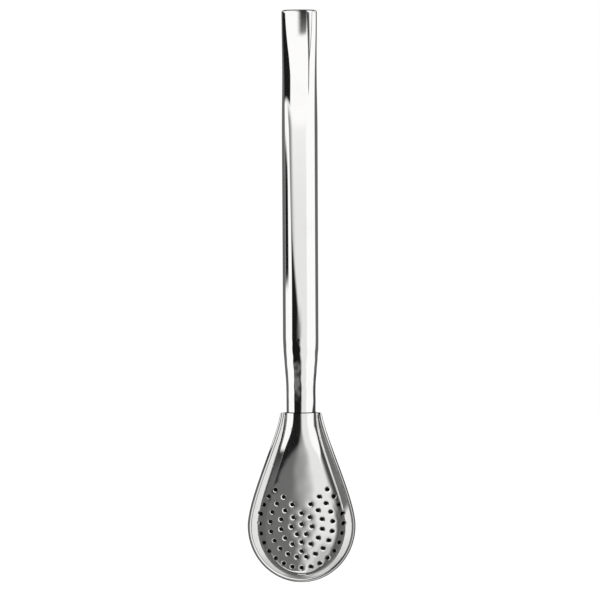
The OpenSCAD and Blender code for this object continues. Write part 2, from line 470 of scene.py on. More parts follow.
@dataclass(frozen=True)
class SteelFinish:
    """How one steel surface is finished."""

    GROUP: ClassVar[str] = "worked_steel"
    LINE_DETAIL: ClassVar[float] = 3.0
    WAVE_DETAIL: ClassVar[float] = 1.0
    MARK_DETAIL: ClassVar[float] = 5.0
    MARK_SCALE: ClassVar[float] = 130.0
    MARK_START: ClassVar[float] = 0.52
    MARK_END: ClassVar[float] = 0.72

    name: str
    colour: Colour
    marked_colour: Colour
    roughness: float
    line_roughness: float
    mark_roughness: float
    lines_across: float
    lines_along: float
    line_height: float
    wave_size: float
    wave_height: float
    # Height, reach and level of a painted shade band, which darkens the colour where the straw's neck meets
    # the shells' top edge.
    seam_height: float | None = None
    seam_reach: float = 0.34 * MM
    seam_shadow_level: float = 0.12

    @classmethod
    def surface_group(cls) -> bpy.types.NodeTree:
        """Builds the group that all finishes share: polishing lines, pressing waves and handling marks.

        Returns:
            The group, which is built only once.
        """
        if cls.GROUP in bpy.data.node_groups:
            return bpy.data.node_groups[cls.GROUP]
        wants = dict.fromkeys(("Lines Across", "Lines Along", "Wave Scale"), Socket.FLOAT)
        gives = dict.fromkeys(("Lines", "Waves", "Marks"), Socket.FLOAT)
        maker = TreeMaker.group(cls.GROUP, TreeKind.SHADER, wants, gives)
        given = maker.inputs()
        place = maker.wire("ShaderNodeTexCoord", "Object")
        x, y, z = maker.split(place)
        stretched = maker.join(x * given["Lines Across"], y * given["Lines Across"], z * given["Lines Along"])
        lines = maker.noise(stretched, 1.0, cls.LINE_DETAIL)
        waves = maker.noise(place, given["Wave Scale"], cls.WAVE_DETAIL)
        marks = maker.noise(place, cls.MARK_SCALE, cls.MARK_DETAIL)
        maker.outputs(Lines=lines, Waves=waves, Marks=marks.step(cls.MARK_START, cls.MARK_END))
        return maker.tree

    def painted_seam_shade(self, maker: TreeMaker, tint: Wire) -> Wire:
        """Paints shade into the steel's colour along the seam where the straw meets the shells, if it has
        one.

        Args:
            maker: The material's tree.
            tint: The steel's colour.

        Returns:
            The colour with the painted shade at the seam.
        """
        if self.seam_height is None:
            return tint
        # Painted shade: the colour darkens within the reach of the height where the shells' top edge meets
        # the straw.
        _, _, up = maker.split(maker.wire("ShaderNodeTexCoord", "Object"))
        near = (up - self.seam_height).maths("ABSOLUTE").step(self.seam_reach, self.seam_reach / 2)
        return maker.blend(near, tint, (self.seam_shadow_level, self.seam_shadow_level, self.seam_shadow_level))

    def material(self) -> bpy.types.Material:
        """Builds the material of this finish.

        Returns:
            The material.
        """
        material, maker = new_material(self.name)
        settings = {
            "Lines Across": self.lines_across,
            "Lines Along": self.lines_along,
            "Wave Scale": 1 / self.wave_size,
        }
        surface = maker.node("ShaderNodeGroup", node_tree=self.surface_group())
        for label, value in settings.items():
            surface.inputs[label].default_value = value
        masks = ("Lines", "Waves", "Marks")
        lines, waves, marks = (Wire(maker.tree, surface.outputs[label]) for label in masks)
        height = lines * self.line_height + waves * self.wave_height
        relief = {"Strength": 1.0, "Distance": 1.0, "Height": height}
        looks = {
            "Metallic": 1.0,
            "Base Color": self.painted_seam_shade(maker, maker.blend(marks, self.colour, self.marked_colour)),
            "Roughness": lines * self.line_roughness + marks * self.mark_roughness + self.roughness,
            "Normal": maker.wire("ShaderNodeBump", "Normal", relief),
        }
        for label, value in looks.items():
            plug(maker.tree, maker.tree.nodes["Principled BSDF"].inputs[label], value)
        return material


DRAWN_STEEL = SteelFinish(
    name="drawn_tube_steel",
    colour=(0.975, 0.97, 0.963),
    marked_colour=(0.95, 0.945, 0.935),
    roughness=0.02,
    line_roughness=0.03,
    mark_roughness=0.02,
    lines_across=2600.0,
    lines_along=24.0,
    line_height=0.12e-6,
    wave_size=9 * MM,
    wave_height=3e-6,
    # The straw's colour carries a painted shade band at the shells' top edge.
    seam_height=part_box("back_shell")[1].z,
)
PRESSED_STEEL = SteelFinish(
    name="pressed_shell_steel",
    colour=(0.97, 0.965, 0.957),
    marked_colour=(0.93, 0.925, 0.915),
    roughness=0.04,
    line_roughness=0.06,
    mark_roughness=0.04,
    lines_across=1500.0,
    lines_along=500.0,
    line_height=0.15e-6,
    wave_size=7 * MM,
    wave_height=8e-5,
)
BARE_STEEL = SteelFinish(
    name="bare_inside_steel",
    colour=(0.20, 0.195, 0.185),
    marked_colour=(0.11, 0.10, 0.09),
    roughness=0.45,
    line_roughness=0.2,
    mark_roughness=0.1,
    lines_across=900.0,
    lines_along=200.0,
    line_height=1e-6,
    wave_size=4 * MM,
    wave_height=4e-6,
)


@dataclass
class Piece:
    """What every piece of the bombilla shares: its names in the frame and its finishes."""

    name: str
    node: str
    slot: str
    skin: bpy.types.Material
    inside: bpy.types.Material

    def finishes(self) -> dict[str, object]:
        """Returns the piece's finishes as inputs of a modelling tree."""
        return {"Skin": self.skin, "Inside": self.inside}

    def place(self, mesh: bpy.types.Mesh) -> bpy.types.Object:
        """Puts a finished mesh into the scene in place of its node.

        Args:
            mesh: The piece's mesh, with its place in its points.

        Returns:
            The piece's object, at the origin.
        """
        mesh.name = self.name
        piece = stand(self.name, mesh)
        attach(piece, "root")
        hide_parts(self.node)
        triangles = sum(len(face.vertices) - 2 for face in mesh.polygons)
        log.info("%s stands for %s with %d triangles", self.name, self.node, triangles)
        return piece


@dataclass
class StrawTube(Piece):
    """The straw: a turned tube with a swaged neck, whose upper end is pressed into a flat mouth."""

    RIPPLE_DETAIL: ClassVar[float] = 1.0

    wall: float = 0.6 * MM
    grip_length: float = 57.5 * MM
    swage_length: float = 15.5 * MM
    neck_radius: float = 4.1 * MM
    mouth_width: float = 9.9 * MM
    mouth_thickness: float = 5.8 * MM
    mouth_waist: float = 0.15 * MM
    # The power of the mouth's section, where 2 is an ellipse and more is squarer.
    mouth_squareness: float = 3.6
    lip_radius: float = 0.45 * MM
    inner_lip_radius: float = 0.12 * MM
    ripple: float = 0.1 * MM
    ripple_size: float = 4 * MM
    sides: int = 192
    swage_rows: int = 60
    neck_rows: int = 24
    grip_rows: int = 12
    mouth_rows: int = 64
    lip_rows: int = 6

    def section(self) -> tuple[list[tuple[float, float]], int]:
        """Draws the wall's section, up the outside, over the lip and down the bore to where it began.

        Returns:
            The section as radius and height before the mouth is pressed, and the row where the bore starts.
        """
        low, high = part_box(self.node)
        radius, top = high.y, high.z
        grip_high, swage_high = self.grip_length / 2, -self.grip_length / 2
        swage_low = swage_high - self.swage_length
        lip, inner, bore = self.lip_radius, self.inner_lip_radius, radius - self.wall
        neck = [(self.neck_radius, mix(low.z, swage_low, share)) for share in shares(self.neck_rows)[:-1]]
        swage = [
            (mix(self.neck_radius, radius, ease(share)), mix(swage_low, swage_high, share))
            for share in shares(self.swage_rows)
        ]
        grip = [(radius, mix(swage_high, grip_high, share)) for share in shares(self.grip_rows)[1:-1]]
        mouth = [(radius, mix(grip_high, top - lip, share)) for share in shares(self.mouth_rows)]
        turns = [math.pi / 2 * share for share in shares(self.lip_rows)]
        rolled = [(radius - lip * (1 - math.cos(a)), top - lip * (1 - math.sin(a))) for a in turns[1:]]
        inward = [(bore + inner * (1 - math.sin(a)), top - inner * (1 - math.cos(a))) for a in turns]
        outside = [*neck, *swage, *grip, *mouth]
        inside = [(r - self.wall, z) for r, z in reversed(outside)]
        over = [*outside, *rolled, *inward]
        return [*over, *inside, outside[0]], len(over)

    def sizes(self, last_row: int, bore_row: int) -> dict[str, object]:
        """Lists what the straw's tree works from.

        Args:
            last_row: Number of the section's last row.
            bore_row: Number of the row where the bore starts.

        Returns:
            The value of each of the tree's named inputs.
        """
        _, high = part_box(self.node)
        return {
            "Last Row": last_row,
            "Sides": self.sides,
            "Bore Row": bore_row,
            "Tube Radius": high.y,
            "Press Start": self.grip_length / 2,
            "Press End": high.z - self.lip_radius,
            "Half Width": self.mouth_width / 2,
            "Half Thickness": self.mouth_thickness / 2,
            "Waist": self.mouth_waist,
            "Squareness": self.mouth_squareness,
            "Swage Start": -self.grip_length / 2 + self.ripple_size,
            "Swage End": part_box("back_shell")[1].z - self.ripple_size / 2,
            "Ripple": self.ripple,
            "Ripple Scale": 1 / self.ripple_size,
            **self.finishes(),
        }

    @classmethod
    def tree(cls, values: dict[str, object]) -> TreeMaker:
        """Builds the tree that turns a section round the axis and presses the upper end flat.

        Args:
            values: Value of each of the tree's named inputs.

        Returns:
            The maker of the tree.
        """
        maker = TreeMaker.modelling("turned_straw", values)
        given = maker.inputs()
        grid, turn, row = maker.rolled_grid(given["Sides"], given["Last Row"])
        cosine, sine = turn.maths("COSINE"), turn.maths("SINE")
        wanted = {"Geometry": given["Mesh"], "Value": maker.position(), "Index": row}
        section = maker.wire("GeometryNodeSampleIndex", "Value", wanted, data_type="FLOAT_VECTOR")
        radius, _, height = maker.split(section)
        share = ((height - given["Press Start"]) / (given["Press End"] - given["Press Start"])).clamped()
        flat = ease(share)
        # The ripples are full over the middle half of the swage and fade out towards its ends.
        middle = (given["Swage Start"] + given["Swage End"]) * 0.5
        reach = (given["Swage Start"] - given["Swage End"]) * 0.5
        swaged = ease((2.0 - (height - middle).maths("ABSOLUTE") * 2.0 / reach).clamped())
        turned = maker.join(radius * cosine, radius * sine, height)
        noise = maker.noise(turned, given["Ripple Scale"], cls.RIPPLE_DETAIL)
        ripple = given["Ripple"] * (noise * 2.0 - 1.0) * swaged
        inset = given["Tube Radius"] - radius - ripple
        waist = given["Waist"] * (share * math.pi).maths("SINE").maths("POWER", 2.0)
        half_width = mix(given["Tube Radius"], given["Half Width"], flat) - waist - inset
        half_thickness = mix(given["Tube Radius"], given["Half Thickness"], flat) - inset
        power = 2.0 / mix(2.0, given["Squareness"], flat)
        across, deep = half_width * cosine.signed_power(power), half_thickness * sine.signed_power(power)
        past_lip = {"Name": "bore", "Value": row - given["Bore Row"]}
        bored = maker.shape("StoreNamedAttribute", grid, past_lip, data_type="FLOAT", domain="POINT")
        pressed = maker.shape("SetPosition", bored, {"Position": maker.join(across, deep, height)})
        welded = maker.shape("MergeByDistance", pressed, {"Distance": WELD})
        maker.finish(welded, maker.attribute("bore", "FLOAT").maths("GREATER_THAN", 0.0))
        return maker

    def build(self) -> bpy.types.Object:
        """Turns and presses the straw.

        Returns:
            Its object.
        """
        section, bore_row = self.section()
        values = self.sizes(len(section) - 1, bore_row)
        base = mesh_of("straw_section", [(radius, 0.0, height) for radius, height in section])
        mesh = run_tree(base, self.tree(values), values)
        mesh.set_sharp_from_angle(angle=SHARP_ANGLE)
        return self.place(mesh)


@dataclass
class SpoonForm:
    """The form that both shells are pressed to: the outer edge, the bowl and the flange round it."""

    widest_height: float = 15.8 * MM
    flange_side: float = 2.8 * MM
    flange_tip: float = 1.7 * MM
    bowl_depth: float = 4.2 * MM
    sheet: float = 0.5 * MM
    neck_insert: float = 9 * MM
    hem_lap: float = 0.25 * MM
    crease: float = 0.05 * MM
    # The power of the bowl's section at some heights, where 2 is an ellipse and more is fuller.
    full_heights: tuple[float, ...] = (0.0, 12.7 * MM, 19 * MM, 28 * MM)
    fullness: tuple[float, ...] = (2.9, 3.1, 3.2, 2.0)
    edge_top: float = 5.9 * MM
    edge_handles: tuple[float, float] = (0.25, 0.16)
    foot_handles: tuple[float, float] = (0.25, 0.31)
    curve_samples: int = 3000
    z_wide: float = field(init=False)
    rise: float = field(init=False)
    edge_wide: float = field(init=False)
    channel: float = field(init=False)
    foot_curve: np.ndarray = field(init=False)
    edge_tree: KDTree = field(init=False)

    def __post_init__(self) -> None:
        """Takes the spoon's heights and widths from the frame and samples its curves."""
        low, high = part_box("back_shell")
        self.z_wide = low.z + self.widest_height
        self.rise = high.z - self.z_wide
        self.edge_wide = high.x
        self.channel = high.y
        along = np.linspace(0, 1, self.curve_samples)
        self.foot_curve = self.s_curve(self.foot_wide, self.channel, self.foot_handles, along)
        edge, _ = self.edge_line(self.curve_samples, self.curve_samples)
        self.edge_tree = KDTree(len(edge))
        for number, (x, h) in enumerate(edge):
            self.edge_tree.insert((x, h, 0.0), number)
        self.edge_tree.balance()

    @property
    def foot_wide(self) -> float:
        """Half width of the bowl at the widest point."""
        return self.edge_wide - self.flange_side

    @property
    def foot_tip(self) -> float:
        """Depth of the bowl's foot below the widest point."""
        return self.widest_height - self.flange_tip

    @property
    def fold_radius(self) -> float:
        """Outside radius of the hem's fold round the front flange."""
        return 1.5 * self.sheet

    @property
    def hem_width(self) -> float:
        """Width of the hem over the front flange."""
        return self.fold_radius + self.hem_lap

    def s_curve(self, low: float, high: float, handles: tuple[float, float], t: np.ndarray) -> np.ndarray:
        """Follows an S-curve from the widest point up to the neck, upright at both ends.

        Args:
            low: Half width at the widest point.
            high: Half width at the neck.
            handles: Length of the handle at each end, as a share of the rise.
            t: Shares of the way along the curve.

        Returns:
            Rows of half width and height.
        """
        u = 1 - t
        handle_low, handle_high = handles[0] * self.rise, (1 - handles[1]) * self.rise
        x = low * u * u * (u + 3 * t) + high * t * t * (t + 3 * u)
        h = 3 * u * u * t * handle_low + 3 * u * t * t * handle_high + t**3 * self.rise
        return np.column_stack((x, h))

    def edge_line(self, side_steps: int, tip_steps: int) -> tuple[np.ndarray, np.ndarray]:
        """Follows the outer edge from the top right, round the tip, to the top left.

        Args:
            side_steps: Steps on each side.
            tip_steps: Steps round the tip.

        Returns:
            Points of X and height, and the outward direction at each of them.
        """
        downward = np.linspace(1, 0, side_steps + 1)
        side = self.s_curve(self.edge_wide, self.edge_top, self.edge_handles, downward)
        turn = np.linspace(0, math.pi, tip_steps + 1)[1:-1]
        tip = np.column_stack((self.edge_wide * np.cos(turn), -self.widest_height * np.sin(turn)))
        line = np.vstack((side, tip, side[::-1] * (-1, 1)))
        run = np.gradient(line, axis=0)
        outward = np.column_stack((-run[:, 1], run[:, 0]))
        outward[0], outward[-1] = (1, 0), (-1, 0)
        return line, outward / np.linalg.norm(outward, axis=1)[:, None]

    def edge_distance(self, x: np.ndarray, h: np.ndarray) -> np.ndarray:
        """Returns how far each point lies from the outer edge."""
        return np.array([self.edge_tree.find((a, b, 0.0))[2] for a, b in zip(x, h)])

    def foot(self, h: np.ndarray) -> np.ndarray:
        """Returns the half width of the bowl's foot at heights above the widest point."""
        return np.interp(h, self.foot_curve[:, 1], self.foot_curve[:, 0])

    def bowl_share(self, x: np.ndarray, h: np.ndarray) -> np.ndarray:
        """Returns how far out each point lies in the bowl, where 1 is the bowl's foot."""
        return np.where(h > 0, np.abs(x) / self.foot(h), np.hypot(x / self.foot_wide, h / self.foot_tip))

    def depth(self, h: np.ndarray) -> np.ndarray:
        """Returns the bowl's depth on the spine at each height."""
        return mix(self.bowl_depth, self.channel, ease(np.clip(h / (self.rise - self.neck_insert), 0, 1)))

    def height(self, x: np.ndarray, h: np.ndarray, flange: np.ndarray) -> np.ndarray:
        """Works out how far the pressed sheet's outer face stands off the parting plane.

        Args:
            x: Distances across.
            h: Heights above the widest point.
            flange: How far the flange would stand off it there.

        Returns:
            The height of each point.
        """
        power = eased_steps(h, self.full_heights, self.fullness)
        bowl = self.depth(h) * np.clip(1 - self.bowl_share(x, h) ** power, 0, None) ** (1 / power)
        near = np.clip(1 - np.abs(bowl - flange) / self.crease, 0, None)
        return np.maximum(bowl, flange) + near**2 * self.crease / 4


@dataclass(frozen=True)
class HolePattern:
    """The strainer's holes: rings round a middle hole, a bare V above, and two holes on the centre line."""

    WALL_ROWS: ClassVar[float] = 2.0
    # Faces whose depth is more than this share of the sheet are on the inside.
    INSIDE_SHARE: ClassVar[float] = 0.99
    # Faces nearer a hole's middle than this share of its ring's flats are cut away.
    FLAT_SHARE: ClassVar[float] = 0.999

    radius: float = 0.575 * MM
    roll_width: float = 0.38 * MM
    roll_depth: float = 0.1 * MM
    dimple_reach: float = 1.1 * MM
    dimple_depth: float = 0.05 * MM
    pitch: float = 2.92 * MM
    ring_tall: float = 1.05
    rings: int = 4
    places: int = 7
    # The ring whose lowest hole gives way to the two holes on the centre line.
    opened_ring: int = 2
    middle_up: float = 0.9 * MM
    vee_height: float = 4.1 * MM
    vee_rise: float = 0.8
    line_drops: tuple[float, float] = (4.95 * MM, 7.5 * MM)
    sides: int = 32
    roll_rows: int = 8

    @property
    def reach(self) -> float:
        """Distance from a hole's middle to where its rolled edge meets the bowl."""
        return self.radius + self.roll_width

    @property
    def cut_reach(self) -> float:
        """Distance from a hole's middle within which the flat blank is cut away."""
        return self.reach * math.cos(math.pi / self.sides) * self.FLAT_SHARE

    def ring(self) -> np.ndarray:
        """Returns the points round a hole's middle where its rolled edge meets the bowl."""
        turns = math.tau * np.arange(self.sides) / self.sides
        return self.reach * np.column_stack((np.cos(turns), np.sin(turns)))

    def middles(self) -> np.ndarray:
        """Lays out the holes.

        Returns:
            Their middles as X and height.
        """
        found = [(0.0, 0.0), *((0.0, -drop) for drop in self.line_drops)]
        for ring in range(1, self.rings + 1):
            count = ring * self.places
            for place in range(count):
                turn = math.tau * place / count
                x = ring * self.pitch * math.sin(turn)
                h = ring * self.pitch * self.ring_tall * math.cos(turn)
                replaced = ring == self.opened_ring and 2 * place == count
                if h <= self.vee_height + self.vee_rise * abs(x) and not replaced:
                    found.append((x, h))
        return np.array(found) + (0.0, self.middle_up)

    def dimples(self, x: np.ndarray, h: np.ndarray) -> np.ndarray:
        """Works out how far the punch drew the sheet in.

        Args:
            x: Distances across.
            h: Heights above the widest point.

        Returns:
            The depth at each point.
        """
        drawn = np.zeros_like(x)
        for middle_x, middle_h in self.middles():
            drawn += np.exp(-((x - middle_x) ** 2 + (h - middle_h) ** 2) / self.dimple_reach**2)
        return drawn * self.dimple_depth

    def sizes(self, sheet: float) -> dict[str, object]:
        """Lists what the punching tree works from.

        Args:
            sheet: Thickness of the sheet.

        Returns:
            The value of each of the tree's named inputs, apart from the finishes.
        """
        return {
            "Sides": self.sides,
            "Hole Radius": self.radius,
            "Reach": self.reach,
            "Roll Depth": self.roll_depth,
            "Sheet": sheet,
            "Roll Rows": self.roll_rows,
        }

    @classmethod
    def tree(cls, values: dict[str, object]) -> TreeMaker:
        """Builds the tree that punches a flat blank: a rolled edge and a wall at each marked point.

        Args:
            values: Value of each of the tree's named inputs.

        Returns:
            The maker of the tree.
        """
        maker = TreeMaker.modelling("punched_holes", values)
        given = maker.inputs()
        reach, roll_rows = given["Reach"], given["Roll Rows"]
        grid, turn, row = maker.rolled_grid(given["Sides"], roll_rows + cls.WALL_ROWS)
        roll = (row / roll_rows).clamped()
        wall = (row - roll_rows).clamped()
        under = (row - roll_rows - 1.0).clamped()
        radius = reach - (reach - given["Hole Radius"]) * roll * (1.0 - under)
        depth = mix(given["Roll Depth"] * roll * roll, given["Sheet"], wall)
        rolled = maker.join(radius * turn.maths("COSINE"), depth, radius * turn.maths("SINE"))
        rim = maker.shape("SetPosition", grid, {"Position": rolled})
        marked = {"Geometry": given["Mesh"], "Selection": maker.attribute("punch", "BOOLEAN")}
        parts = maker.node("GeometryNodeSeparateGeometry", marked)
        points, plate = (Wire(maker.tree, socket) for socket in parts.outputs)
        rims = maker.wire("GeometryNodeInstanceOnPoints", "Instances", {"Points": points, "Instance": rim})
        joined = maker.node("GeometryNodeJoinGeometry")
        for part in (plate, maker.shape("RealizeInstances", rims)):
            plug(maker.tree, joined.inputs[0], part)
        welded = maker.shape("MergeByDistance", Wire(maker.tree, joined.outputs[0]), {"Distance": WELD})
        _, deep, _ = maker.split(maker.position())
        maker.finish(welded, (deep / given["Sheet"]).maths("GREATER_THAN", cls.INSIDE_SHARE))
        return maker


@dataclass
class PressedShell(Piece):
    """A shell of the spoon: a flat blank of sheet, punched if it has holes, then pressed to the form."""

    # The triangulation's way of working that keeps only what lies inside the outline, and its margin.
    INSIDE_OUTLINE: ClassVar[int] = 1
    PLAN_MARGIN: ClassVar[float] = 1e-6
    # A corner takes the form's own direction where the face agrees with it by this cosine or more.
    AGREEMENT: ClassVar[float] = 0.8

    form: SpoonForm = field(default_factory=SpoonForm)
    facing: Facing = Facing.BACK
    holes: HolePattern | None = None
    side_steps: int = 110
    tip_steps: int = 170
    row_step: float = 0.42 * MM
    arc_step: float = math.radians(2.0)
    line_step: float = 0.13 * MM
    cell: float = 0.08 * MM
    probe: float = 0.02 * MM
    clear: float = 0.07 * MM
    rim_lines: float = 3.6 * MM
    # Lines of points that follow the bowl's foot, where the sheet turns sharply, as shares of its width.
    foot_shares: tuple[float, ...] = (1.004, 0.996, 0.986)

    @property
    def edge_inset(self) -> float:
        """How far inside the outer edge the sheet's own face ends, which is where the hem's fold starts."""
        return self.form.fold_radius

    def fine_insets(self) -> tuple[float, ...]:
        """Returns distances inside the outer edge at which the sheet needs a line of points of its own."""
        return ()

    def middles(self) -> np.ndarray:
        """Returns the middles of this shell's holes, or none."""
        return self.holes.middles() if self.holes else np.empty((0, 2))

    def outline(self) -> np.ndarray:
        """Follows the blank's outline, from the top right round the tip to the top left and along the top.

        Returns:
            Points of X and height.
        """
        line, outward = self.form.edge_line(self.side_steps, self.tip_steps)
        edge = line - outward * self.edge_inset
        turns = np.arange(self.arc_step, math.pi, self.arc_step)[::-1]
        top = np.column_stack((self.form.channel * np.cos(turns), np.full(len(turns), self.form.rise)))
        return np.vstack((edge, top))

    def inset_line(self, inset: float) -> np.ndarray:
        """Follows the outer edge at a distance inside it.

        Args:
            inset: The distance.

        Returns:
            Points of X and height, short of the blank's top.
        """
        line, outward = self.form.edge_line(self.side_steps, self.tip_steps)
        points = (line - outward * inset)[1:-1]
        return points[points[:, 1] < self.form.rise - self.line_step / 2]

    def bowl_rows(self) -> np.ndarray:
        """Spreads points over the bowl in rows that close up towards its foot.

        Returns:
            Points of X and height.
        """
        form = self.form
        turns = np.arange(self.arc_step, math.pi, self.arc_step)
        upper = np.arange(self.row_step, form.rise - self.row_step / 2, self.row_step)
        falls = np.arange(0, math.pi / 2, self.row_step / form.foot_tip)
        heights = np.concatenate((upper, -form.foot_tip * np.sin(falls)))
        halves = np.concatenate((form.foot(upper), form.foot_wide * np.cos(falls)))
        across = np.outer(halves, np.cos(turns)).ravel()
        points = np.column_stack((across, np.repeat(heights, len(turns))))
        return points[form.bowl_share(*points.T) < min(self.foot_shares)]

    def foot_lines(self) -> np.ndarray:
        """Follows the bowl's foot, where the sheet turns sharply.

        Returns:
            Points of X and height.
        """
        form = self.form
        upper = np.arange(0, form.rise - self.row_step / 2, self.row_step / 2)
        side = np.column_stack((form.foot(upper), upper))
        turns = np.linspace(0, math.pi, self.tip_steps)[1:-1]
        tip = np.column_stack((form.foot_wide * np.cos(turns), -form.foot_tip * np.sin(turns)))
        lines = []
        for share in self.foot_shares:
            lines += [side * (share, 1), side * (-share, 1), tip * share]
        return np.vstack(lines)

    def inner_points(self) -> np.ndarray:
        """Spreads points inside the outline: over the flange and the bowl, and along the foot and the tuck.

        Returns:
            Points of X and height, clear of the outline and of the holes.
        """
        fine = self.fine_insets()
        start = max((self.edge_inset, *fine))
        offsets = np.arange(start + self.line_step, self.rim_lines, self.line_step)
        flange = np.vstack([self.inset_line(offset) for offset in offsets])
        flange = flange[self.form.bowl_share(*flange.T) > max(self.foot_shares)]
        points = np.vstack((flange, self.bowl_rows()))
        _, first = np.unique(np.round(points / self.cell), axis=0, return_index=True)
        points = np.vstack((points[np.sort(first)], self.foot_lines()))
        inside = self.form.edge_distance(*points.T) > start + self.clear
        for middle in self.middles():
            inside &= np.hypot(*(points - middle).T) > self.holes.reach + self.clear
        return np.vstack((points[inside], *map(self.inset_line, fine)))

    def plan(self) -> tuple[np.ndarray, np.ndarray, int]:
        """Triangulates the blank in the plane of the sheet.

        Returns:
            Points of X and height with the outline first, the triangles, and the number of outline points.
        """
        outline = self.outline()
        loops = [np.arange(len(outline))]
        groups = [outline]
        for middle in self.middles():
            start = sum(map(len, groups))
            groups.append(middle + self.holes.ring())
            loops.append(np.arange(start, start + self.holes.sides))
        points = np.vstack((*groups, self.inner_points()))
        places = [Vector(point / MM) for point in points]
        edges = [(int(a), int(b)) for loop in loops for a, b in zip(loop, np.roll(loop, -1))]
        found = delaunay_2d_cdt(places, edges, [], self.INSIDE_OUTLINE, self.PLAN_MARGIN)
        placed, faces = np.array(found[0]) * MM, np.array(found[2])
        centres = placed[faces].mean(axis=1)
        keep = np.ones(len(faces), bool)
        for middle in self.middles():
            keep &= np.hypot(*(centres - middle).T) > self.holes.cut_reach
        log.info("%s: %d plan points, %d returned", self.name, len(points), len(placed))
        return placed, faces[keep], len(outline)

    def blank(self) -> bpy.types.Mesh:
        """Makes the flat blank: two skins, the walls that close them, and a marked point for each hole.

        Returns:
            The blank's mesh.
        """
        plan, faces, rim = self.plan()
        count = len(plan)
        skins = [np.insert(plan, 1, depth, axis=1) for depth in (0.0, self.form.sheet)]
        marks = np.insert(self.middles(), 1, 0.0, axis=1)
        walls = [(b, a, a + count, b + count) for a, b in self.wall_edges(rim)]
        closed = [*faces, *(faces[:, ::-1] + count), *walls]
        mesh = mesh_of(self.name + "_blank", np.vstack((*skins, marks)), closed)
        punch = mesh.attributes.new("punch", "BOOLEAN", "POINT")
        punch.data.foreach_set("value", [number >= 2 * count for number in range(len(mesh.vertices))])
        return mesh

    def wall_edges(self, rim: int) -> list[tuple[int, int]]:
        """Returns the edges of the outline that a wall closes, out of rim points."""
        return [(number, (number + 1) % rim) for number in range(rim)]

    def flange(self, x: np.ndarray, h: np.ndarray) -> np.ndarray:
        """Returns how far the flange stands off the parting plane, which is one sheet."""
        return np.full(len(x), self.form.sheet)

    def height(self, x: np.ndarray, h: np.ndarray) -> np.ndarray:
        """Returns how far this shell's outer face stands off the parting plane."""
        return self.form.height(x, h, self.flange(x, h)) - (self.holes.dimples(x, h) if self.holes else 0.0)

    def normal(self, x: np.ndarray, h: np.ndarray) -> np.ndarray:
        """Works out which way the pressed sheet faces.

        Args:
            x: Distances across.
            h: Heights above the widest point.

        Returns:
            The outward direction at each point, as X, off the parting plane, and height.
        """
        step = self.probe
        across = (self.height(x + step, h) - self.height(x - step, h)) / (2 * step)
        up = (self.height(x, h + step) - self.height(x, h - step)) / (2 * step)
        out = np.column_stack((-across, np.ones_like(x), -up))
        return out / np.linalg.norm(out, axis=1)[:, None]

    def press(self, mesh: bpy.types.Mesh) -> tuple[np.ndarray, np.ndarray]:
        """Presses a flat blank into the form.

        Args:
            mesh: The blank, which is changed.

        Returns:
            Each point's depth in the sheet, and the outward direction there.
        """
        faced = (1, self.facing.value, 1)
        x, depth, h = coordinates(mesh).T
        out = self.normal(x, h)
        placed = (np.column_stack((x, self.height(x, h), h)) - depth[:, None] * out) * faced
        placed[:, 2] += self.form.z_wide
        mesh.vertices.foreach_set("co", placed.astype(np.float32).ravel())
        if self.facing is Facing.BACK:
            mesh.flip_normals()
        mesh.update()
        return depth, out * faced

    def smooth(self, mesh: bpy.types.Mesh, depth: np.ndarray, out: np.ndarray) -> None:
        """Gives both skins the form's own directions, so that reflections run smoothly over the triangles.

        Args:
            mesh: The pressed shell.
            depth: Each point's depth in the sheet.
            out: The outward direction at each point.
        """
        mesh.set_sharp_from_angle(angle=SHARP_ANGLE)
        corners = np.empty(len(mesh.loops), np.int32)
        mesh.loops.foreach_get("vertex_index", corners)
        totals = np.empty(len(mesh.polygons), np.int32)
        mesh.polygons.foreach_get("loop_total", totals)
        flats = np.empty(len(mesh.polygons) * 3)
        mesh.polygons.foreach_get("normal", flats)
        flats = np.repeat(flats.reshape(-1, 3), totals, axis=0)
        known = np.full(len(mesh.vertices), np.nan)
        known[: len(depth)] = depth
        ways = np.zeros((len(mesh.vertices), 3))
        ways[: len(out)] = out
        on_outer = np.isclose(known[corners], 0, atol=WELD)
        on_inner = np.isclose(known[corners], self.form.sheet, atol=WELD)
        sign = np.where(on_outer, 1.0, np.where(on_inner, -1.0, 0.0))
        normals = ways[corners] * sign[:, None]
        normals[(normals * flats).sum(axis=1) < self.AGREEMENT] = 0
        mesh.normals_split_custom_set(normals.tolist())

    def pressed(self) -> tuple[bpy.types.Mesh, np.ndarray, np.ndarray]:
        """Punches and presses the blank.

        Returns:
            The mesh, each point's depth in the sheet, and the outward direction there.
        """
        holes = self.holes or HolePattern()
        values = {**holes.sizes(self.form.sheet), **self.finishes()}
        mesh = run_tree(self.blank(), holes.tree(values), values)
        return mesh, *self.press(mesh)

    def build(self) -> bpy.types.Object:
        """Makes the shell.

        Returns:
            Its object.
        """
        mesh, depth, out = self.pressed()
        self.smooth(mesh, depth, out)
        return self.place(mesh)


